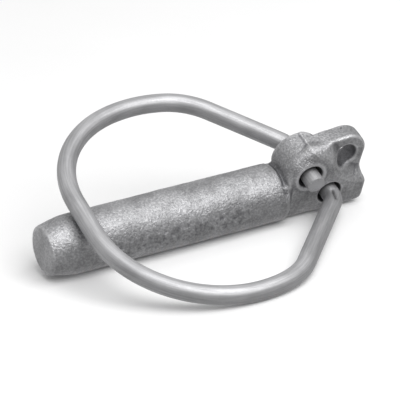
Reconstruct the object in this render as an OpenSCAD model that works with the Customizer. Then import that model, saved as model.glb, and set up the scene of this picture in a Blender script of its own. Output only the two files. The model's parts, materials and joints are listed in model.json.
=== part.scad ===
// Lynch pin: a galvanised steel pin with an over-centre sprung wire ring.
// Two pieces: the cast pin body, and the ring bent from one length of round wire.
// The pin is drawn along X, with its nose towards -X and its head towards +X, then rolled about X
// until it lies on its shank with the side of the ring touching the same flat surface.
// The origin is on the shank's axis, at the shoulder where the shank meets the head.

/* [Shank] */
// Diameter of the shank
shank_d = 15; // [10:0.5:25]
// Length of the shank, from the shoulder to the end of the nose
shank_len = 65.3; // [58:0.1:120]
// Length of the tapered nose
nose_len = 6.5; // [3:0.1:10]
// How far the nose tapers in on each side, at its rim
nose_taper = 1.4; // [0.5:0.1:2.5]
// Radius of the nose's rounded edge
nose_edge_r = 1.3; // [0.5:0.1:2]

/* [Head] */
// Width of the head across its two flat sides
head_w = 10.2; // [8:0.1:13]
// Distance of the upper hole from the shoulder
upper_hole_x = 5.75; // [5:0.05:8]
// Depth of the upper hole's centre below the top of the shank
upper_hole_drop = 0.1; // [0:0.1:1]
// Distance along the shank from the upper hole to the lower one
hole_step = 6.65; // [5:0.05:9]
// Clearance round the wire in each of the two holes that hold the ring's ends
hole_clearance = 0.875; // [0.2:0.025:1.2]
// Wall of the barrel round the upper hole
barrel_wall = 2.85; // [2:0.05:4]
// Radius of the barrel's rounded edges
barrel_edge_r = 0.8; // [0.2:0.1:1.5]
// Step in from the shank to the block under the head
block_step = 0.4; // [0.1:0.1:1]
// Distance from the lower hole to the end of the head
hole_to_end = 9.7; // [8:0.1:14]
// Radius of the block's lower corner
block_corner_r = 4; // [1:0.1:6]
// Wall of the block above the lower hole
block_wall = 1.45; // [1:0.05:2.5]
// Length of that wall beyond the lower hole, before the block's edge falls towards the end
block_wall_run = 1; // [0:0.1:3]
// Length of the block's falling edge
block_fall_run = 5.5; // [4:0.1:6]
// Height of the block's edge above the shank's axis where it has fallen
block_fall_h = 2; // [1.5:0.1:3]
// Height of the block's edge above the shank's axis at the end of the head
block_end_h = 1; // [0:0.1:1.5]

/* [Eyelet lug] */
// Thickness of the lug
lug_t = 4.8; // [3:0.1:7]
// Height of the lug's top above the upper hole's centre
lug_rise = 7.8; // [6.7:0.1:11]
// Radius of the lug's outer corner
lug_corner_r = 5.5; // [3:0.1:6.5]
// Diameter of the eyelet
eyelet_d = 6.2; // [3:0.1:8]
// Distance from the eyelet's centre to the end of the head
eyelet_to_end = 5.2; // [4.5:0.1:6]
// Distance from the eyelet's centre to the top of the lug
eyelet_to_top = 5.9; // [4.5:0.1:7]

/* [Ring] */
// Diameter of the ring's wire
wire_d = 4.75; // [3:0.05:6]
// Distance from the middle of the bow to the nose's end
bow_to_nose = 9.7; // [4:0.1:14]
// Radius of the bow, on the wire's centreline
bow_r = 29.3; // [24:0.1:35]
// Angle through which each half of the bow turns
bow_turn = 99; // [92:0.5:104]
// Half the straight stretch in the middle of the bow
bow_flat = 5.9; // [1:0.1:10]
// Radius of the corner between the bow and each leg
corner_r = 19.5; // [12:0.1:24]
// Straight stretch between the bow and the sharper of the two corners
side_flat = 0.7; // [0.3:0.1:6]
// Sideways offset of the bow, towards the leg in the lower hole
bow_offset = 2.7; // [0:0.1:4]
// Angle by which the ring is skewed in its own plane
ring_yaw = 1.3; // [0:0.1:3]
// Angle by which the ring's plane drops towards the head
ring_pitch = 1.8; // [0:0.1:4]
// Radius of the bend from each leg into its end, on the wire's centreline
end_bend_r = 5; // [3:0.1:6]
// Length of wire that stands out of the hole beyond each end
end_stand_out = 3.2; // [1:0.1:6]
// Clearance between a bend's corner point and the head's side
end_corner_gap = 2.6; // [2.4:0.1:5]
// Clearance between the closed ring and the shank
ring_gap = 0.85; // [0.2:0.05:2]

/* [Hidden] */
$fn = 96;

shank_r = shank_d / 2;
nose_r = shank_r - nose_taper;
wire_r = wire_d / 2;
half_w = head_w / 2;
block_r = shank_r - block_step;
ring_hole_r = wire_r + hole_clearance;
barrel_r = ring_hole_r + barrel_wall;

upper_hole = [upper_hole_x, shank_r - upper_hole_drop];
lower_hole = [upper_hole_x + hole_step, 0];
head_len = lower_hole.x + hole_to_end;
block_corner = [head_len - block_corner_r, block_corner_r - block_r];
lug_h = upper_hole.y + lug_rise;
lug_corner = [head_len - lug_corner_r, lug_h - lug_corner_r];
eyelet = [head_len - eyelet_to_end, lug_h - eyelet_to_top];

// The shank's core runs this far into the head, so that the two are one solid.
root_len = 1;
// Boxes that only have to reach past the head are larger than it by this much.
margin = 1;
// The block's upper edge leaves the barrel at this angle below the horizontal, and the barrel's
// edges are rounded down to this angle above it, where the lug takes over.
web_angle = 10;
lug_angle = 45;
// The lug's top rises by this much over its first half, to its full height.
lug_crown = 0.2;

// The straights of the wire are a hair thinner than its bends and run a hair into them, so that
// all of them join as one solid.
seam_step = 0.01;
seam_run = 0.05;

// The ring's plane: the bow's middle, the direction towards the head, and the sideways direction.
bow_z = shank_r + wire_r + ring_gap;
bow_mid = [bow_to_nose - shank_len, -bow_offset, bow_z];
to_head = [cos(ring_yaw) * cos(ring_pitch), -sin(ring_yaw) * cos(ring_pitch), -sin(ring_pitch)];
sideways = [sin(ring_yaw), cos(ring_yaw), 0];

// Corner points of the ring, before its bends: out along the bow, then down its side.
bow_reach = bow_r * tan(bow_turn / 2);
bow_corner = [0, bow_flat + bow_reach];
end_corner_y = half_w + end_corner_gap;
end_tip_y = half_w + end_stand_out;

function on_ring(p, side) = bow_mid + p.x * to_head + side * p.y * sideways;
function at_hole(hole, y) = [hole.x, y, hole.y];
function unit(v) = v / norm(v);

// Where the ring's side would end in a sharp corner, if the corner turned by that angle.
function side_end(turn) = bow_corner
    + (bow_reach + side_flat + corner_r * tan(turn / 2)) * [sin(bow_turn), cos(bow_turn)];

// How far a corner laid out for one turn really turns on one side, on its way to the head, and
// the sharper of the two. Laying it out again for that angle soon settles on the real one.
function real_turn(turn, side, hole) =
    let (corner = on_ring(side_end(turn), side))
    acos(unit(corner - on_ring(bow_corner, side)) * unit(at_hole(hole, side * end_corner_y) - corner));
function sharper_turn(turn) =
    max(real_turn(turn, 1, upper_hole), real_turn(turn, -1, lower_hole));
function settled_turn(turn, tries) =
    tries == 0 ? turn : settled_turn(sharper_turn(turn), tries - 1);
first_turn = 40;
settling_tries = 20;
leg_corner = side_end(settled_turn(first_turn, settling_tries));

WIRE_POINTS = [
    at_hole(upper_hole, -end_tip_y),
    at_hole(upper_hole, end_corner_y),
    on_ring(leg_corner, 1),
    on_ring(bow_corner, 1),
    on_ring(bow_corner, -1),
    on_ring(leg_corner, -1),
    at_hole(lower_hole, -end_corner_y),
    at_hole(lower_hole, end_tip_y)
];
WIRE_BENDS = [0, end_bend_r, corner_r, bow_r, bow_r, corner_r, end_bend_r, 0];

// Roll about X that brings the side of the ring down to the surface under the shank.
bow_centre = bow_mid + bow_r * to_head - bow_flat * sideways;
function bow_point(a) = bow_centre - bow_r * (cos(a) * to_head + sin(a) * sideways);
function roll_to_touch(p) =
    180 + asin((shank_r - wire_r) / norm([p.y, p.z])) - atan2(p.z, p.y);
rest_roll = min([for (a = [60 : 0.5 : bow_turn]) roll_to_touch(bow_point(a))]);

function heading(points, i) = unit(points[i + 1] - points[i]);
function bend_angle(points, i) = acos(heading(points, i - 1) * heading(points, i));
function trim(points, bends, i) =
    bends[i] == 0 ? 0 : bends[i] * tan(bend_angle(points, i) / 2);
function across(v) = unit(cross(v, abs(v.z) < 0.9 ? [0, 0, 1] : [1, 0, 0]));
function placing(x, y, z, at) = [
    [x.x, y.x, z.x, at.x],
    [x.y, y.y, z.y, at.y],
    [x.z, y.z, z.z, at.z],
    [0, 0, 0, 1]
];

// Puts a drawing of the XZ plane on its feet, as thick as t.
module side_plate(t) {
    rotate([90, 0, 0]) linear_extrude(height = t, center = true) children();
}

module cross_hole(at, d) {
    translate([at.x, 0, at.y]) rotate([90, 0, 0])
        cylinder(d = d, h = 3 * head_w, center = true);
}

// Half outline of the shank: x is the radius and y the distance from the nose's end.
module shank_outline() {
    rim = nose_r - nose_edge_r;
    polygon([
        [0, 0],
        [rim, 0],
        [rim, nose_edge_r],
        [nose_r, nose_edge_r],
        [shank_r, nose_len],
        [shank_r, shank_len],
        [half_w - root_len, shank_len],
        [half_w - root_len, shank_len + root_len],
        [0, shank_len + root_len]
    ]);
    intersection() {
        translate([rim, nose_edge_r]) circle(r = nose_edge_r);
        translate([rim, 0]) square(nose_edge_r);
    }
}

module shank() {
    translate([-shank_len, 0, 0]) rotate([0, 90, 0])
        rotate_extrude() shank_outline();
}

// A point on the barrel's outline in the side view, at an angle above the horizontal.
function on_barrel(angle) = upper_hole + barrel_r * [cos(angle), sin(angle)];

// Side view of the thick part of the head: the barrel, and the block under it. What fits on the
// shank seats against the barrel, which is flat at the shoulder.
module head_side() {
    intersection() {
        translate(upper_hole) circle(r = barrel_r);
        square([head_len, lug_h]);
    }
    block_top = ring_hole_r + block_wall;
    wall_end = lower_hole.x + block_wall_run;
    polygon([
        [0, -block_r],
        [block_corner.x, -block_r],
        [head_len, block_corner.y],
        [head_len, block_end_h],
        [wall_end + block_fall_run, block_fall_h],
        [wall_end, block_top],
        on_barrel(-web_angle),
        [0, upper_hole.y]
    ]);
    translate(block_corner) circle(r = block_corner_r);
}

// A box right across the head, between two corners of the side view.
module across_head(from, to) {
    translate([from.x, -head_w, from.y]) cube([to.x - from.x, 2 * head_w, to.y - from.y]);
}

// The block keeps the shank's round form below the axis, and the barrel's edges are rounded.
module thick_head() {
    low = [-margin, -block_r - margin];
    high = [head_len, lug_h] + [margin, margin];
    intersection() {
        side_plate(head_w) head_side();
        union() {
            translate([low.x, 0, 0]) rotate([0, 90, 0]) cylinder(r = block_r, h = high.x - low.x);
            across_head([low.x, 0], high);
        }
        union() {
            rounded_barrel();
            across_head(low, [high.x, upper_hole.y]);
            across_head([on_barrel(lug_angle).x, low.y], high);
        }
    }
}

module rounded_barrel() {
    rim = barrel_r - barrel_edge_r;
    flat = half_w - barrel_edge_r;
    translate([upper_hole.x, 0, upper_hole.y]) rotate([90, 0, 0]) rotate_extrude() {
        translate([0, -half_w]) square([rim, head_w]);
        translate([0, -flat]) square([barrel_r, 2 * flat]);
        for (side = [-1, 1]) translate([rim, side * flat]) circle(r = barrel_edge_r);
    }
}

module lug_side() {
    polygon([
        [upper_hole.x, block_corner.y],
        [head_len, block_corner.y],
        [head_len, lug_corner.y],
        [lug_corner.x, lug_h],
        [on_barrel(0).x, lug_h - lug_crown],
        on_barrel(90) + [0, -lug_crown]
    ]);
    translate(lug_corner) circle(r = lug_corner_r);
}

module pin_body() {
    color([0.60, 0.61, 0.61])
    rotate([rest_roll, 0, 0])
    difference() {
        union() {
            shank();
            thick_head();
            side_plate(lug_t) lug_side();
        }
        cross_hole(upper_hole, 2 * ring_hole_r);
        cross_hole(lower_hole, 2 * ring_hole_r);
        cross_hole(eyelet, eyelet_d);
    }
}

// Round wire along points, bent at each one to the radius in bends.
module bent_wire(points, bends, r) {
    for (i = [0 : len(points) - 2]) {
        d = heading(points, i);
        from = bends[i] == 0 ? 0 : trim(points, bends, i) - seam_run;
        to = bends[i + 1] == 0 ? 0 : trim(points, bends, i + 1) - seam_run;
        multmatrix(placing(across(d), cross(d, across(d)), d, points[i] + d * from))
            cylinder(r = r - seam_step, h = norm(points[i + 1] - points[i]) - from - to);
    }
    for (i = [1 : len(points) - 2]) {
        d = heading(points, i - 1);
        inward = unit(heading(points, i) - d * (d * heading(points, i)));
        start = points[i] - d * trim(points, bends, i);
        multmatrix(placing(-inward, d, cross(-inward, d), start + bends[i] * inward))
            rotate_extrude(angle = bend_angle(points, i)) translate([bends[i], 0]) circle(r = r);
    }
}

module wire_ring() {
    color([0.67, 0.68, 0.69])
    rotate([rest_roll, 0, 0])
        bent_wire(WIRE_POINTS, WIRE_BENDS, wire_r);
}

pin_body();
wire_ring();
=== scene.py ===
"""Lynch pin: the looks of its galvanised cast body and its zinc plated wire ring.

The body is drawn as one blended solid and turned into a fine mesh, the ring is one wire swept along
its bends. Both are laid out along the shank, then rolled into the frame as the pin comes to rest.
"""
import json
import math

import bpy
import numpy as np
from mathutils import Matrix, Vector, noise


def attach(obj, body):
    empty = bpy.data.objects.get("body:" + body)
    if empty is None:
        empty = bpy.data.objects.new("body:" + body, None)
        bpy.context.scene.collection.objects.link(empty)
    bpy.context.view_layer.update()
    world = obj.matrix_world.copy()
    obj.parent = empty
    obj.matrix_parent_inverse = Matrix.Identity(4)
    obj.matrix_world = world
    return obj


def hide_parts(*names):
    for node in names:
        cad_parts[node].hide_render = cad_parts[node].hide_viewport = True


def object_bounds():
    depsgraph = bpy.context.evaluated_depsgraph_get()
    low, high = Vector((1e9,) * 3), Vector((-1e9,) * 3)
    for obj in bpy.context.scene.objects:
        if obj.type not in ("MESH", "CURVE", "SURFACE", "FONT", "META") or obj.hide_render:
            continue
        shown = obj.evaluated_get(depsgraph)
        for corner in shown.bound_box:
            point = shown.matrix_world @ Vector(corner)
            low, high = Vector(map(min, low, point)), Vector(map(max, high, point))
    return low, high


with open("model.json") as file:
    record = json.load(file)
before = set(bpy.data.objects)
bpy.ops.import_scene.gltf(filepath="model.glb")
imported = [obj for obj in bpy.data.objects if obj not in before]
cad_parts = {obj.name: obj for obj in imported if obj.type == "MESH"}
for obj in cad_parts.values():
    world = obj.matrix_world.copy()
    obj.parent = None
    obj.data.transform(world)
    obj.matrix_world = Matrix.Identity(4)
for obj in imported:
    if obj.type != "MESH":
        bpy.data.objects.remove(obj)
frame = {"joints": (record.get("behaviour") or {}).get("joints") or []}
CAD_BOX = [list(corner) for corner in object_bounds()]

MM = 0.001
HINGE = frame["joints"][0]
# The pin lies rolled about its shank, so the axis of its ring's holes is tilted by the same angle.
REST_ROLL = math.atan2(HINGE["axis"][2], HINGE["axis"][1])

# ---------------------------------------------------------------- sizes, in millimetres

# The shank, and the nose that tapers from it.
SHANK_R = 7.5
SHANK_LEN = 65.3
NOSE_LEN = 6.5
NOSE_R = 6.1

# The head: its half width, the block under it, the barrel with its raised lip, and the fold where the
# shank meets the barrel.
HALF_W = 5.1
BLOCK_END = 22.2
BLOCK_R = 7.05
BLOCK_CORNER_R = 4.0
BARREL_R = 6.25
RIM_W = 1.4
RIM_RISE = 0.4
FOLD_X = -0.9
FOLD_W = 0.8
FOLD_DEPTH = 0.8

# The three cross holes, as places in the side view, and the lug that holds the eyelet.
UPPER_HOLE = (5.75, 7.4)
LOWER_HOLE = (12.4, 0.0)
RING_HOLE_R = 3.25
LUG_HALF_T = 2.45
NEAR_SLOPE = 4.0
FAR_SLOPE = 1.4
LUG_END = 22.7
LUG_TOP = 15.4
LUG_CORNER_R = 5.5
EYELET = (16.9, 9.3)
EYELET_R = 2.98
EYELET_LIP_NEAR = 0.8
EYELET_LIP_FAR = 0.2
HOLE_LIP = 0.5
PIT = (16.7, 1.4, 15.4)
PIT_R = 0.35

# How softly the parts of the head run into each other: tight, wide, and widest inside the metal.
TIGHT = 0.8
WIDE = 4.0
WIDEST = 5.0

# The body's mesh: the box that holds it, its cell, and the reach over which a bend is measured.
BODY_LOW = (-66.3, -8.5, -8.5)
BODY_HIGH = (23.3, 8.5, 16.3)
CELL = 0.29
BEND_REACH = 0.25

# Roughness of the casting, each as its height and the size of its lumps.
SWELL = (0.07, 3.6)
CAST_GRAIN = (0.035, 0.75)
RIDGES = (0.3, 1.0)

# The wire ring: its bow, its two corners, its tilt, and the ends bent into the head.
WIRE_R = 2.375
BOW_REACH = 55.6
BOW_R = 29.3
BOW_TURN = math.radians(99)
BOW_FLAT = 5.9
CORNER_R = 19.5
CORNER_TURN = math.radians(37)
SIDE_FLAT = 1.5
BOW_OFFSET = 2.7
RING_YAW = math.radians(1.3)
RING_PITCH = math.radians(1.8)
END_BEND_R = 5.0
END_STAND_OUT = 3.2
END_CORNER_GAP = 2.6
RING_GAP = 0.85
BOW_DIP = 0.55
DIP_START = 5.0
DIP_RUN = 35.0
RING_HALF_W = 35.0
END_EDGE = 0.22
SIDES = 48
PATH_STEP = 0.7

# The tool mark on the near leg.
NICK_FROM = (12.1, -6.8, 2.35)
NICK_TO = (10.9, -10.4, 2.9)
NICK_OUT = (0.33, -0.2, 0.92)
NICK_W = 0.4
NICK_DEPTH = 0.3

# ---------------------------------------------------------------- camera, lights and floor


def add_camera():
    """Looks down on the pin from its near side, a little from the nose."""
    azimuth, elevation, roll = math.radians(-25.613), math.radians(23.938), math.radians(-3.371)
    distance, aim = 698.3 * MM, (-19.49 * MM, -2.45 * MM)
    back = Vector((math.sin(azimuth) * math.cos(elevation),
                   -math.cos(azimuth) * math.cos(elevation),
                   math.sin(elevation)))
    level = Vector((math.cos(azimuth), math.sin(azimuth), 0))
    rise = back.cross(level)
    right = math.cos(roll) * level + math.sin(roll) * rise
    up = math.cos(roll) * rise - math.sin(roll) * level
    data = bpy.data.cameras.new("camera")
    data.lens = 248.7
    data.sensor_width = 36.0
    data.clip_start, data.clip_end = 0.01, 20.0
    camera = bpy.data.objects.new("camera", data)
    bpy.context.scene.collection.objects.link(camera)
    turn = Matrix((right, up, back)).transposed()
    camera.matrix_world = Matrix.Translation(aim[0] * right + aim[1] * up + distance * back) @ turn.to_4x4()
    bpy.context.scene.camera = camera


def add_light(name, direction, distance, size, power):
    """A soft square light that faces the middle of the pin."""
    data = bpy.data.lights.new(name, "AREA")
    data.shape = "SQUARE"
    data.size = size
    data.energy = power
    light = bpy.data.objects.new(name, data)
    bpy.context.scene.collection.objects.link(light)
    middle = Vector((-20 * MM, -5 * MM, 0))
    away = Vector(direction).normalized()
    light.location = middle + away * distance
    light.rotation_mode = "QUATERNION"
    light.rotation_quaternion = away.to_track_quat("Z", "Y")


def add_world(below, level, above, behind):
    """A plain room that is dim below and round the horizon, bright overhead and lit from behind."""
    world = bpy.data.worlds.new("studio")
    bpy.context.scene.world = world
    world.use_nodes = True
    tree = world.node_tree
    n = Nodes(tree)
    height = n.add("ShaderNodeSeparateXYZ", Vector=n.add("ShaderNodeTexCoord").outputs["Generated"])
    low = n.spread(height.outputs["Z"], -0.25, 0.1, below, level)
    high = n.spread(height.outputs["Z"], 0.05, 0.8, 0.0, above - level)
    back = n.spread(height.outputs["Y"], -0.1, 0.9, 0.0, behind)
    n.feed(tree.nodes["Background"].inputs["Strength"], n.maths("ADD", n.maths("ADD", low, high), back))
    tree.nodes["Background"].inputs["Color"].default_value = (1.0, 1.0, 1.0, 1)


# ---------------------------------------------------------------- node helpers


def new_group(name, inputs, outputs):
    """An empty shader node group with named float, vector and colour sockets."""
    group = bpy.data.node_groups.new(name, "ShaderNodeTree")
    for label, kind, value in inputs:
        socket = group.interface.new_socket(label, in_out="INPUT", socket_type="NodeSocket" + kind)
        if value is not None:
            socket.default_value = value
    for label, kind in outputs:
        group.interface.new_socket(label, in_out="OUTPUT", socket_type="NodeSocket" + kind)
    return group


class Nodes:
    """Adds nodes to a tree, and links whatever is given as a socket."""

    def __init__(self, tree):
        self.tree = tree

    def add(self, kind, settings=None, **inputs):
        """A new node, with its settings and then its inputs, whose names have _ for a space."""
        node = self.tree.nodes.new(kind)
        for label, value in (settings or {}).items():
            setattr(node, label, value)
        for label, value in inputs.items():
            self.feed(node.inputs[label.replace("_", " ")], value)
        return node

    def feed(self, socket, value):
        """Links a socket, or sets a plain value."""
        if isinstance(value, bpy.types.NodeSocket):
            self.tree.links.new(value, socket)
        else:
            socket.default_value = value

    def maths(self, operation, a, b=0.0, clamp=False):
        node = self.add("ShaderNodeMath", {"operation": operation, "use_clamp": clamp})
        self.feed(node.inputs[0], a)
        self.feed(node.inputs[1], b)
        return node.outputs[0]

    def spread(self, value, low, high, to_low=0.0, to_high=1.0):
        """Remaps value from low..high to to_low..to_high, smoothly."""
        node = self.add("ShaderNodeMapRange", {"interpolation_type": "SMOOTHSTEP"}, Value=value,
                        From_Min=low, From_Max=high, To_Min=to_low, To_Max=to_high)
        return node.outputs["Result"]

    def scaled(self, vector, factor):
        node = self.add("ShaderNodeVectorMath", {"operation": "SCALE"}, Vector=vector, Scale=factor)
        return node.outputs["Vector"]

    def mix(self, factor, a, b):
        node = self.add("ShaderNodeMix", {"data_type": "RGBA"})
        self.feed(node.inputs[0], factor)
        self.feed(node.inputs[6], a)
        self.feed(node.inputs[7], b)
        return node.outputs[2]


def grain_group():
    """A crowded skin of small bumps: the pits and peaks that zinc leaves on steel."""
    group = new_group("Zinc grain",
                      [("Vector", "Vector", None), ("Size", "Float", 0.0005)],
                      [("Height", "Float"), ("Peaks", "Float")])
    n = Nodes(group)
    given, made = n.add("NodeGroupInput"), n.add("NodeGroupOutput")
    cells = n.scaled(given.outputs["Vector"], n.maths("DIVIDE", 1.0, given.outputs["Size"]))
    bumps = n.add("ShaderNodeTexNoise", Vector=cells, Scale=1.0, Detail=3.0, Roughness=0.6)
    pebbles = n.add("ShaderNodeTexVoronoi", {"feature": "SMOOTH_F1"}, Vector=cells, Scale=0.9)
    rounding = n.maths("MULTIPLY", pebbles.outputs["Distance"], 0.35)
    height = n.maths("SUBTRACT", bumps.outputs["Fac"], rounding)
    n.feed(made.inputs["Height"], height)
    n.feed(made.inputs["Peaks"], n.spread(height, 0.2, 0.55))
    return group


def patches_group():
    """Slow cloudy change of tone over the surface."""
    group = new_group("Cloudy patches",
                      [("Vector", "Vector", None), ("Size", "Float", 0.01), ("Low", "Float", 0.9),
                       ("High", "Float", 1.1)],
                      [("Value", "Float")])
    n = Nodes(group)
    given, made = n.add("NodeGroupInput"), n.add("NodeGroupOutput")
    place = n.scaled(given.outputs["Vector"], n.maths("DIVIDE", 1.0, given.outputs["Size"]))
    clouds = n.add("ShaderNodeTexNoise", Vector=place, Scale=1.0, Detail=4.0, Roughness=0.55,
                   Distortion=0.4)
    value = n.spread(clouds.outputs["Fac"], 0.3, 0.7, given.outputs["Low"], given.outputs["High"])
    n.feed(made.inputs["Value"], value)
    return group


def wear_group():
    """Where edges are rubbed bright, with a ragged border, from how sharply the mesh bends."""
    group = new_group("Rubbed edges",
                      [("Vector", "Vector", None), ("Bend", "Float", 0.0), ("Start", "Float", 0.2),
                       ("Full", "Float", 0.8)],
                      [("Rubbed", "Float")])
    n = Nodes(group)
    given, made = n.add("NodeGroupInput"), n.add("NodeGroupOutput")
    breakup = n.add("ShaderNodeTexNoise", Vector=given.outputs["Vector"], Scale=900.0, Detail=3.0)
    ragged = n.maths("ADD", given.outputs["Bend"],
                     n.maths("MULTIPLY", n.maths("SUBTRACT", breakup.outputs["Fac"], 0.5), 0.9))
    node = n.add("ShaderNodeMapRange", {"clamp": True}, Value=ragged,
                 From_Min=given.outputs["Start"], From_Max=given.outputs["Full"])
    n.feed(made.inputs["Rubbed"], node.outputs["Result"])
    return group


def place_group(n, group, **inputs):
    """Puts a group into a tree, and gives its outputs."""
    node = n.add("ShaderNodeGroup", {"node_tree": group}, **inputs)
    return node.outputs


def new_material(name):
    """A material with one shader, and the place on the piece in metres."""
    material = bpy.data.materials.new(name)
    material.use_nodes = True
    tree = material.node_tree
    tree.nodes.clear()
    n = Nodes(tree)
    shader = n.add("ShaderNodeBsdfPrincipled")
    n.add("ShaderNodeOutputMaterial", Surface=shader.outputs["BSDF"])
    where = n.add("ShaderNodeTexCoord").outputs["Object"]
    return material, n, shader, where


# ---------------------------------------------------------------- materials


def cast_zinc(grain, patches, wear):
    """Dull grey galvanised casting, with a coarse sparkling skin, and painted shade darkening its creases,
    hole bores and the troughs of its rough band.
    """
    material, n, shader, where = new_material("galvanised_casting")
    coarse = place_group(n, grain, Vector=where, Size=0.0005)
    fine = place_group(n, grain, Vector=where, Size=0.00027)
    clouds = place_group(n, patches, Vector=where, Size=0.006, Low=0.8, High=1.18)
    bend = n.add("ShaderNodeAttribute", {"attribute_name": "bend"}).outputs["Fac"]
    painted_hollow_shade = n.add("ShaderNodeAttribute", {"attribute_name": "painted_hollow_shade"}).outputs["Fac"]
    rubbed = place_group(n, wear, Vector=where, Bend=bend, Start=0.25, Full=0.9)["Rubbed"]

    skin = n.mix(coarse["Peaks"], (0.34, 0.34, 0.35, 1), (0.50, 0.50, 0.51, 1))
    skin = n.mix(n.maths("MULTIPLY", rubbed, 0.75), skin, (0.66, 0.66, 0.67, 1))
    # Painted shade: creases, hole bores and the troughs of the rough band are darkened in the colour.
    skin = n.mix(n.maths("MULTIPLY", painted_hollow_shade, 0.7), skin, (0.13, 0.13, 0.14, 1))
    tone = n.add("ShaderNodeVectorMath", {"operation": "SCALE"}, Vector=skin, Scale=clouds["Value"])
    n.feed(shader.inputs["Base Color"], tone.outputs["Vector"])
    shader.inputs["Metallic"].default_value = 0.85
    shader.inputs["Specular IOR Level"].default_value = 0.4
    rough = n.spread(fine["Height"], 0.1, 0.6, 0.56, 0.38)
    n.feed(shader.inputs["Roughness"], rough)

    lumps = n.add("ShaderNodeBump", Strength=1.0, Distance=0.00017, Height=coarse["Height"])
    specks = n.add("ShaderNodeBump", Strength=1.0, Distance=0.00008, Height=fine["Height"],
                   Normal=lumps.outputs["Normal"])
    n.feed(shader.inputs["Normal"], specks.outputs["Normal"])
    return material


def drawn_wire(grain, patches, wear):
    """Zinc plated spring wire: satin, with faint lines along its length, and painted shade in the groove of
    its tool mark.
    """
    material, n, shader, where = new_material("plated_wire")
    along = n.add("ShaderNodeUVMap", {"uv_map": "along"}).outputs["UV"]
    stretched = n.add("ShaderNodeVectorMath", {"operation": "MULTIPLY"}, Vector=along)
    stretched.inputs[1].default_value = (120.0, 34.0, 1.0)
    lines = n.add("ShaderNodeTexNoise", Vector=stretched.outputs["Vector"], Scale=1.0, Detail=3.0)
    specks = place_group(n, grain, Vector=where, Size=0.0003)
    clouds = place_group(n, patches, Vector=where, Size=0.012, Low=0.9, High=1.1)
    bend = n.add("ShaderNodeAttribute", {"attribute_name": "bend"}).outputs["Fac"]
    painted_hollow_shade = n.add("ShaderNodeAttribute", {"attribute_name": "painted_hollow_shade"}).outputs["Fac"]
    rubbed = place_group(n, wear, Vector=where, Bend=bend, Start=0.3, Full=0.8)["Rubbed"]

    skin = n.mix(n.spread(lines.outputs["Fac"], 0.3, 0.7), (0.46, 0.46, 0.47, 1), (0.58, 0.58, 0.59, 1))
    skin = n.mix(n.maths("MULTIPLY", rubbed, 0.6), skin, (0.80, 0.80, 0.81, 1))
    # Painted shade: the tool mark's groove is darkened almost to black.
    skin = n.mix(n.maths("MULTIPLY", painted_hollow_shade, 0.9), skin, (0.05, 0.05, 0.05, 1))
    tone = n.add("ShaderNodeVectorMath", {"operation": "SCALE"}, Vector=skin, Scale=clouds["Value"])
    n.feed(shader.inputs["Base Color"], tone.outputs["Vector"])
    shader.inputs["Metallic"].default_value = 0.92
    shader.inputs["Specular IOR Level"].default_value = 0.4
    n.feed(shader.inputs["Roughness"], n.spread(specks["Height"], 0.1, 0.6, 0.62, 0.50))

    drawn = n.add("ShaderNodeBump", Strength=0.3, Distance=0.00004, Height=lines.outputs["Fac"])
    pitted = n.add("ShaderNodeBump", Strength=0.3, Distance=0.00003, Height=specks["Height"],
                   Normal=drawn.outputs["Normal"])
    n.feed(shader.inputs["Normal"], pitted.outputs["Normal"])
    return material


def pale_floor():
    """A matt, nearly white table."""
    material, n, shader, where = new_material("pale_floor")
    mottle = n.add("ShaderNodeTexNoise", Vector=where, Scale=40.0, Detail=2.0)
    tone = n.mix(mottle.outputs["Fac"], (0.95, 0.95, 0.95, 1), (0.97, 0.97, 0.97, 1))
    n.feed(shader.inputs["Base Color"], tone)
    shader.inputs["Roughness"].default_value = 0.9
    shader.inputs["Specular IOR Level"].default_value = 0.1
    return material


# ---------------------------------------------------------------- solid forms, as distances in mm


def join(a, b, fillet):
    """The union of two solids, with a fillet of about that size in the fold between them."""
    h = np.clip(0.5 + 0.5 * (b - a) / fillet, 0, 1)
    return b * (1 - h) + a * h - fillet * h * (1 - h)


def common(a, b, edge):
    """What two solids share, with the edge where they meet rounded over."""
    return -join(-a, -b, edge)


def cut(a, hole, edge):
    """A solid less a hole, with the hole's lip rounded over."""
    return common(a, -hole, edge)


def cross_bore(x, z, at, radius):
    """A round bar right across the head, at a place in the side view."""
    return np.hypot(x - at[0], z - at[1]) - radius


def side_outline(x, z, corners):
    """Distance from a closed outline in the side view, below zero inside it."""
    best = np.full(x.shape, 1e9)
    inside = np.zeros(x.shape, dtype=bool)
    for (ax, az), (bx, bz) in zip(corners, corners[1:] + corners[:1]):
        ex, ez = bx - ax, bz - az
        t = np.clip(((x - ax) * ex + (z - az) * ez) / (ex * ex + ez * ez), 0, 1)
        best = np.minimum(best, np.hypot(x - ax - t * ex, z - az - t * ez))
        if ez:
            crosses = (z >= min(az, bz)) & (z < max(az, bz))
            inside ^= crosses & (x < ax + (z - az) * ex / ez)
    return np.where(inside, -best, best)


def shank_form(x, y, z):
    """The shank, without end towards the head."""
    r = np.hypot(y, z)
    slope = Vector((NOSE_R - SHANK_R, NOSE_LEN)).normalized()
    cone = (x + SHANK_LEN - NOSE_LEN) * slope.x + (r - SHANK_R) * slope.y
    side = common(r - SHANK_R, cone, 0.4)
    return common(side, -SHANK_LEN - x, 1.1)


def smooth(t):
    """From 0 to 1 as t does, easing out of both."""
    t = np.clip(t, 0, 1)
    return t * t * (3 - 2 * t)


def block_outline(x, z):
    """Side view of the block under the barrel, with its round lower corner."""
    low = BLOCK_CORNER_R - BLOCK_R
    block = side_outline(x, z, [
        (-1.5, -BLOCK_R), (BLOCK_END - BLOCK_CORNER_R, -BLOCK_R), (BLOCK_END, low),
        (BLOCK_END, 0.6), (19.0, 1.5), (13.6, 4.7), (11.0, 6.2), (-1.5, 5.5)])
    corner = cross_bore(x, z, (BLOCK_END - BLOCK_CORNER_R, low), BLOCK_CORNER_R)
    return np.minimum(block, corner)


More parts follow.
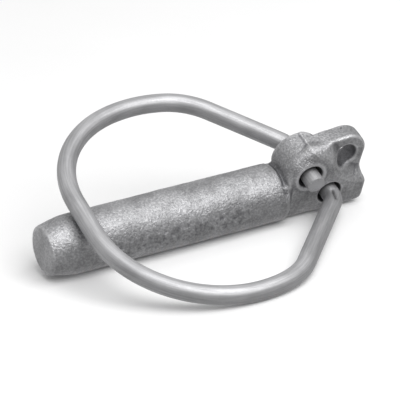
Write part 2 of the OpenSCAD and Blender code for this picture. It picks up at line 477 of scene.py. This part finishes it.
def lug_outline(x, z):
    """Side view of the lug, with its round outer corner."""
    lug = side_outline(x, z, [
        (UPPER_HOLE[0], -3.0), (BLOCK_END - 1.6, -3.0), (LUG_END - 0.9, 1.0),
        (LUG_END, LUG_TOP - LUG_CORNER_R),
        (LUG_END - LUG_CORNER_R, LUG_TOP), (UPPER_HOLE[0] + BARREL_R, LUG_TOP - 0.35),
        (UPPER_HOLE[0] + 1.0, LUG_TOP - 1.6), UPPER_HOLE])
    corner = cross_bore(x, z, (LUG_END - LUG_CORNER_R, LUG_TOP - LUG_CORNER_R), LUG_CORNER_R)
    return np.minimum(lug, corner)


def head_form(x, y, z):
    """The barrel and block at the head's full width, sloping down to the thin lug."""
    barrel = cross_bore(x, z, UPPER_HOLE, BARREL_R)
    block = block_outline(x, z)
    thick_part = join(barrel, block, TIGHT)
    near = join(barrel, block, WIDE) / NEAR_SLOPE
    far = thick_part / FAR_SLOPE
    full = smooth(1 - np.where(y < 0, near, far))
    half_t = LUG_HALF_T + (HALF_W - LUG_HALF_T) * full
    rim = cross_bore(x, z, UPPER_HOLE, RING_HOLE_R + RIM_W / 2)
    half_t = half_t + RIM_RISE * np.exp(-(2 * rim / RIM_W) ** 2)
    lug = lug_outline(x, z)
    outline = join(thick_part, lug, 0.9 + 3.2 * smooth((0.5 - y) / 3))
    edge = TIGHT + (0.2 + 3.2 * smooth(0.3 - y / 5)) * full * smooth((z - 5.5) / 4)
    head = common(join(thick_part, lug, WIDEST), np.abs(y) - half_t, edge)
    head = common(head, outline, 0.6)
    round_below = np.where(z < 0, np.hypot(y, z), np.abs(y)) - BLOCK_R
    return common(head, round_below, 0.5)


def body_form(x, y, z):
    """The whole casting, with its three holes and the fold between the shank and the barrel."""
    fold = FOLD_DEPTH * np.exp(-((x - FOLD_X) / FOLD_W) ** 2) * smooth((z - 2) / 4)
    shank = common(shank_form(x, y, z) + fold, x - 0.4, 1.8)
    body = join(shank, head_form(x, y, z), TIGHT)
    for hole in (UPPER_HOLE, LOWER_HOLE):
        body = cut(body, cross_bore(x, z, hole, RING_HOLE_R), HOLE_LIP)
    eyelet_lip = np.where(y < 0, EYELET_LIP_NEAR, EYELET_LIP_FAR)
    body = cut(body, cross_bore(x, z, EYELET, EYELET_R), eyelet_lip)
    pit = np.sqrt((x - PIT[0]) ** 2 + (y - PIT[1]) ** 2 + (z - PIT[2]) ** 2) - PIT_R
    return cut(body, pit, 0.15)


# ---------------------------------------------------------------- from a form to a mesh


def slope_of(form, points, step=0.02):
    """The form's slope at points, and how sharply it bends there."""
    here = form(*points.T)
    slope, bend = np.empty_like(points), -6 * here
    for axis in range(3):
        ahead, behind = points.copy(), points.copy()
        ahead[:, axis] += step
        behind[:, axis] -= step
        a, b = form(*ahead.T), form(*behind.T)
        slope[:, axis] = (a - b) / (2 * step)
        bend += a + b
    return here, slope, bend / step ** 2


def skin_of(form, low, high, cell):
    """A mesh of four-sided faces over a form: one point in each cell that the surface crosses."""
    lines = [np.arange(low[a], high[a] + cell, cell) for a in range(3)]
    inside = form(*np.meshgrid(*lines, indexing="ij")) < 0
    size = [n - 1 for n in inside.shape]
    count = np.zeros(size, dtype=int)
    for i in (0, 1):
        for j in (0, 1):
            for k in (0, 1):
                count += inside[i:i + size[0], j:j + size[1], k:k + size[2]]
    crossed = (count > 0) & (count < 8)
    number = np.full(size, -1)
    number[crossed] = np.arange(crossed.sum())
    cells = np.argwhere(crossed)
    points = np.array(low) + (cells + 0.5) * cell
    for _ in range(4):
        here, slope, _ = slope_of(form, points)
        steep = np.maximum((slope ** 2).sum(axis=1), 0.25)
        points -= np.clip(here / steep, -cell, cell)[:, None] * slope
    faces = []
    for axis in range(3):
        u, v = (axis + 1) % 3, (axis + 2) % 3
        a = np.moveaxis(inside, (axis, u, v), (0, 1, 2))
        n = np.moveaxis(number, (axis, u, v), (0, 1, 2))
        i, j, k = np.nonzero(a[:-1, 1:-1, 1:-1] != a[1:, 1:-1, 1:-1])
        square = np.stack([n[i, j, k], n[i, j + 1, k], n[i, j + 1, k + 1], n[i, j, k + 1]], axis=1)
        outward = a[:-1, 1:-1, 1:-1][i, j, k]
        faces.append(np.where(outward[:, None], square, square[:, ::-1]))
    return points, np.concatenate(faces)


def into_frame(points):
    """From millimetres along the shank to metres in the frame."""
    c, s = math.cos(REST_ROLL), math.sin(REST_ROLL)
    x, y, z = points.T
    return np.stack([x, y * c - z * s, y * s + z * c], axis=1) * MM


def new_piece(name, points, faces, material):
    """A smooth shaded piece, from points in millimetres along the shank."""
    mesh = bpy.data.meshes.new(name)
    mesh.from_pydata(into_frame(points).tolist(), [], faces)
    mesh.validate()
    mesh.shade_smooth()
    mesh.materials.append(material)
    piece = bpy.data.objects.new(name, mesh)
    bpy.context.scene.collection.objects.link(piece)
    return piece


def store(piece, name, values):
    """Keeps a value at each point, for the materials to read."""
    layer = piece.data.attributes.new(name, "FLOAT", "POINT")
    layer.data.foreach_set("value", np.asarray(values, dtype=np.float32))


def lumpiness(points, size, octaves=2):
    """Smooth noise between -1 and 1 at each point."""
    return np.array([noise.fractal(Vector(p) / size, 0.9, 2.0, octaves) for p in points.tolist()])


# ---------------------------------------------------------------- the cast body


def rough_band(points):
    """Where the near side of the shank is left rough, from 0 to 1."""
    x, y, z = points.T
    angle = np.degrees(np.arctan2(z, -y))
    along = smooth((x + 50) / 3) * smooth((-10 - x) / 4)
    return along * smooth((22 - np.abs(angle - 10)) / 9)


def build_body(material):
    """The casting's mesh, roughened everywhere but inside its holes."""
    points, faces = skin_of(body_form, BODY_LOW, BODY_HIGH, CELL)
    _, slope, bend = slope_of(body_form, points, BEND_REACH)
    out = slope / np.linalg.norm(slope, axis=1)[:, None]
    on_outside = np.ones(len(points))
    for at, radius in ((UPPER_HOLE, RING_HOLE_R), (LOWER_HOLE, RING_HOLE_R), (EYELET, EYELET_R)):
        on_outside *= np.clip(cross_bore(points[:, 0], points[:, 2], at, radius) / 0.3, 0, 1)
    swell = SWELL[0] * lumpiness(points, SWELL[1])
    grain = CAST_GRAIN[0] * lumpiness(points + 40, CAST_GRAIN[1])
    band = rough_band(points)
    ridges = RIDGES[0] * band * lumpiness(points * (1.0, 0.8, 0.8) + 90, RIDGES[1])
    points += out * ((swell + grain + ridges) * on_outside)[:, None]
    piece = new_piece("cast_pin_body", points, faces.tolist(), material)
    store(piece, "bend", np.clip((bend - 0.15) / 1.2, 0, 1))
    # Painted shade in the colour: concave creases, the hole bores and the troughs of the rough band.
    sunk = np.maximum(np.clip(-bend / 0.9, 0, 1), 1 - on_outside)
    store(piece, "painted_hollow_shade", np.maximum(sunk, np.clip(-4.5 * ridges, 0, 0.8)))
    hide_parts("pin_body")
    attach(piece, "pin")


# ---------------------------------------------------------------- the wire ring


def ring_corners():
    """Corner points of the wire before it is bent, and the radius of each bend."""
    bow_mid = Vector((-BOW_REACH, -BOW_OFFSET, SHANK_R + WIRE_R + RING_GAP))
    to_head = Vector((math.cos(RING_YAW) * math.cos(RING_PITCH),
                      -math.sin(RING_YAW) * math.cos(RING_PITCH),
                      -math.sin(RING_PITCH)))
    sideways = Vector((math.sin(RING_YAW), math.cos(RING_YAW), 0))
    reach = BOW_R * math.tan(BOW_TURN / 2)
    side_len = reach + CORNER_R * math.tan(CORNER_TURN / 2) + SIDE_FLAT
    bow_corner = Vector((0, BOW_FLAT + reach))
    leg_corner = bow_corner + side_len * Vector((math.sin(BOW_TURN), math.cos(BOW_TURN)))

    def on_ring(p, side):
        return bow_mid + p.x * to_head + side * p.y * sideways

    def at_hole(hole, y):
        return Vector((hole[0], y, hole[1]))

    points = [
        at_hole(UPPER_HOLE, -HALF_W - END_STAND_OUT),
        at_hole(UPPER_HOLE, HALF_W + END_CORNER_GAP),
        on_ring(leg_corner, 1), on_ring(bow_corner, 1),
        on_ring(bow_corner, -1), on_ring(leg_corner, -1),
        at_hole(LOWER_HOLE, -HALF_W - END_CORNER_GAP),
        at_hole(LOWER_HOLE, HALF_W + END_STAND_OUT)]
    return points, [0, END_BEND_R, CORNER_R, BOW_R, BOW_R, CORNER_R, END_BEND_R, 0]


def wire_path(points, bends, spacing):
    """Points along the wire's middle, evenly spaced on its straights and round its bends."""
    path = [points[0]]
    for i in range(1, len(points) - 1):
        came = (points[i] - points[i - 1]).normalized()
        goes = (points[i + 1] - points[i]).normalized()
        angle = came.angle(goes)
        trim = bends[i] * math.tan(angle / 2)
        inward = (goes - came * came.dot(goes)).normalized()
        start = points[i] - came * trim
        centre = start + inward * bends[i]
        straight = (start - path[-1]).length
        first = path[-1].copy()
        steps = max(int(straight / spacing), 1)
        path += [first.lerp(start, (k + 1) / steps) for k in range(steps)]
        steps = max(int(bends[i] * angle / spacing), 2)
        for k in range(1, steps + 1):
            a = angle * k / steps
            path.append(centre - inward * (bends[i] * math.cos(a)) + came * (bends[i] * math.sin(a)))
    steps = max(int((points[-1] - path[-1]).length / spacing), 1)
    first = path[-1].copy()
    path += [first.lerp(points[-1], (k + 1) / steps) for k in range(steps)]
    return path


def build_ring(material):
    """The ring's wire, swept along its path with its two cut ends slightly broken."""
    points, bends = ring_corners()
    path = [settle(p) for p in wire_path(points, bends, PATH_STEP)]
    heads = [(path[min(i + 1, len(path) - 1)] - path[max(i - 1, 0)]).normalized()
             for i in range(len(path))]
    stations = [(p, head, WIRE_R) for p, head in zip(path, heads)]
    stations[0] = (path[0] + heads[0] * END_EDGE, heads[0], WIRE_R)
    stations[-1] = (path[-1] - heads[-1] * END_EDGE, heads[-1], WIRE_R)
    stations.insert(0, (path[0], heads[0], WIRE_R - END_EDGE))
    stations.append((path[-1], heads[-1], WIRE_R - END_EDGE))
    across = heads[0].orthogonal().normalized()
    verts, run, length = [], [], 0.0
    for i, (p, head, radius) in enumerate(stations):
        across = (across - head * across.dot(head)).normalized()
        other = head.cross(across)
        if i:
            length += (p - stations[i - 1][0]).length
        run.append(length)
        for k in range(SIDES):
            a = 2 * math.pi * k / SIDES
            verts.append(p + radius * (math.cos(a) * across + math.sin(a) * other))
    last = (len(stations) - 1) * SIDES
    faces = [(i + k, i + (k + 1) % SIDES, i + SIDES + (k + 1) % SIDES, i + SIDES + k)
             for i in range(0, last, SIDES) for k in range(SIDES)]
    faces.append(tuple(reversed(range(SIDES))))
    faces.append(tuple(range(last, last + SIDES)))
    verts = np.array([list(v) for v in verts])
    verts, dented = nick(verts)
    piece = new_piece("sprung_wire_ring", verts, faces, material)
    piece.data.set_sharp_from_angle(angle=math.radians(35))
    layer = piece.data.uv_layers.new(name="along")
    for face in piece.data.polygons:
        wraps = max(piece.data.loops[j].vertex_index % SIDES for j in face.loop_indices) == SIDES - 1
        for j in face.loop_indices:
            ring, k = divmod(piece.data.loops[j].vertex_index, SIDES)
            turn = k + SIDES if wraps and k == 0 else k
            layer.data[j].uv = (run[ring] * MM, turn / SIDES)
    store(piece, "bend", np.zeros(len(verts)))
    # The tool mark's depth is kept as painted shade for the wire's colour.
    store(piece, "painted_hollow_shade", dented)
    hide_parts("wire_ring")
    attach(piece, "ring")


def nick(points):
    """A tool mark pressed into the near leg, just outside the lower hole; its depth also sets painted shade
    in the groove.
    """
    start, end = np.array(NICK_FROM), np.array(NICK_TO)
    run = end - start
    t = np.clip(((points - start) @ run) / (run @ run), 0, 1)
    gap = np.linalg.norm(points - start - t[:, None] * run, axis=1)
    depth = np.exp(-(gap / NICK_W) ** 2)
    return points - np.array(NICK_OUT) * (depth * NICK_DEPTH)[:, None], depth


def settle(p):
    """Towards the bow the ring lies closer to the shank than its drawn gap, and its far side lower."""
    share = min(max((DIP_START - p.x) / DIP_RUN, 0.0), 1.0)
    return p - Vector((0, 0, BOW_DIP * share * (1 + p.y / RING_HALF_W)))


# ---------------------------------------------------------------- the scene


def build_floor():
    """The table under the pin, kept out of reflections."""
    lowest = CAD_BOX[0][2]
    mesh = bpy.data.meshes.new("floor")
    half = 3.0
    mesh.from_pydata([(-half, -half, lowest), (half, -half, lowest), (half, half, lowest),
                      (-half, half, lowest)], [], [(0, 1, 2, 3)])
    mesh.materials.append(pale_floor())
    floor = bpy.data.objects.new("floor", mesh)
    bpy.context.scene.collection.objects.link(floor)
    floor.visible_glossy = False


add_camera()
add_world(0.38, 0.21, 0.54, 0.3)
add_light("key", (0.15, -0.5, 0.85), 0.8, 0.75, 5.9)
bpy.context.scene.view_settings.view_transform = "Standard"

GRAIN, PATCHES, WEAR = grain_group(), patches_group(), wear_group()
build_body(cast_zinc(GRAIN, PATCHES, WEAR))
build_ring(drawn_wire(GRAIN, PATCHES, WEAR))
build_floor()
